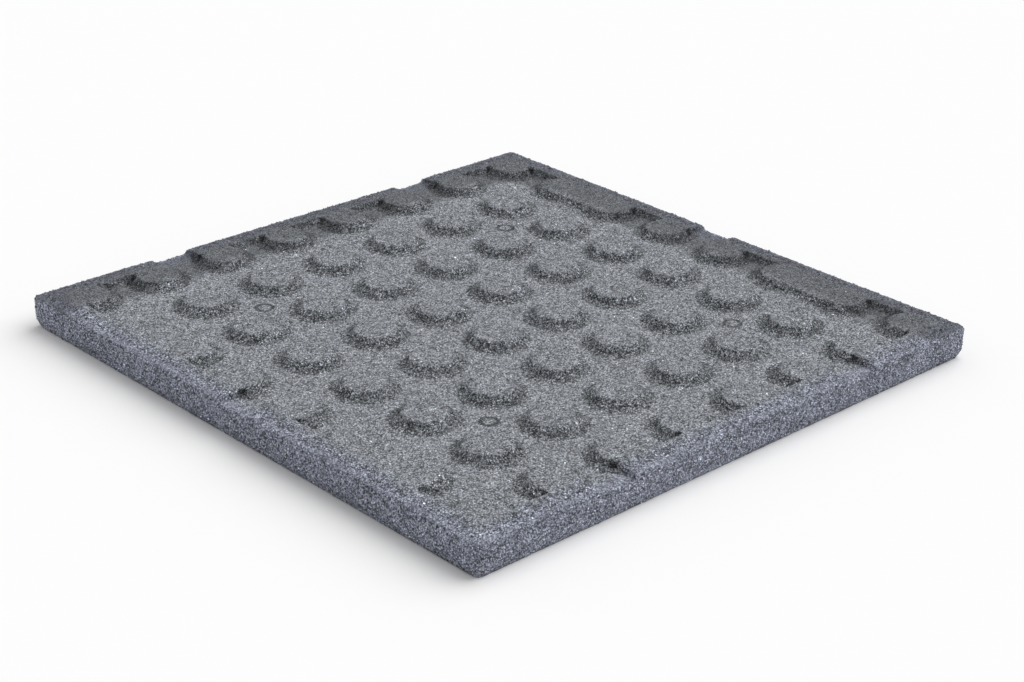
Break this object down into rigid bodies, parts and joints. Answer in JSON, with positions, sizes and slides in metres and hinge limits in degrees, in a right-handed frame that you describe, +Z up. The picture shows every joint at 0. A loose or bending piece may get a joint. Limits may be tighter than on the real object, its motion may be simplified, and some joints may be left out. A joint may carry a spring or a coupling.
{
  "type": "rubber paving tile",
  "caption": "Square paving tile moulded from bonded rubber granulate, lying on its walking face with the studded drainage underside up, and drain notches through its rim.",
  "frame": {"origin": "under the middle of the tile, on the plane that it lies on", "axes": "+Z is up through the thickness, towards the studded underside. X and Y run along the four straight sides. The rims that face +Y and -Y have two drain notches each, and those that face +X and -X have one each."},
  "size_m": [0.5, 0.5, 0.028],
  "materials": {
    "rubber_granulate": "matt, fine granular, mixed dark and mid grey crumb"
  },
  "bodies": {
    "root": {"tile": "rubber_granulate"}
  },
  "joints": []
}
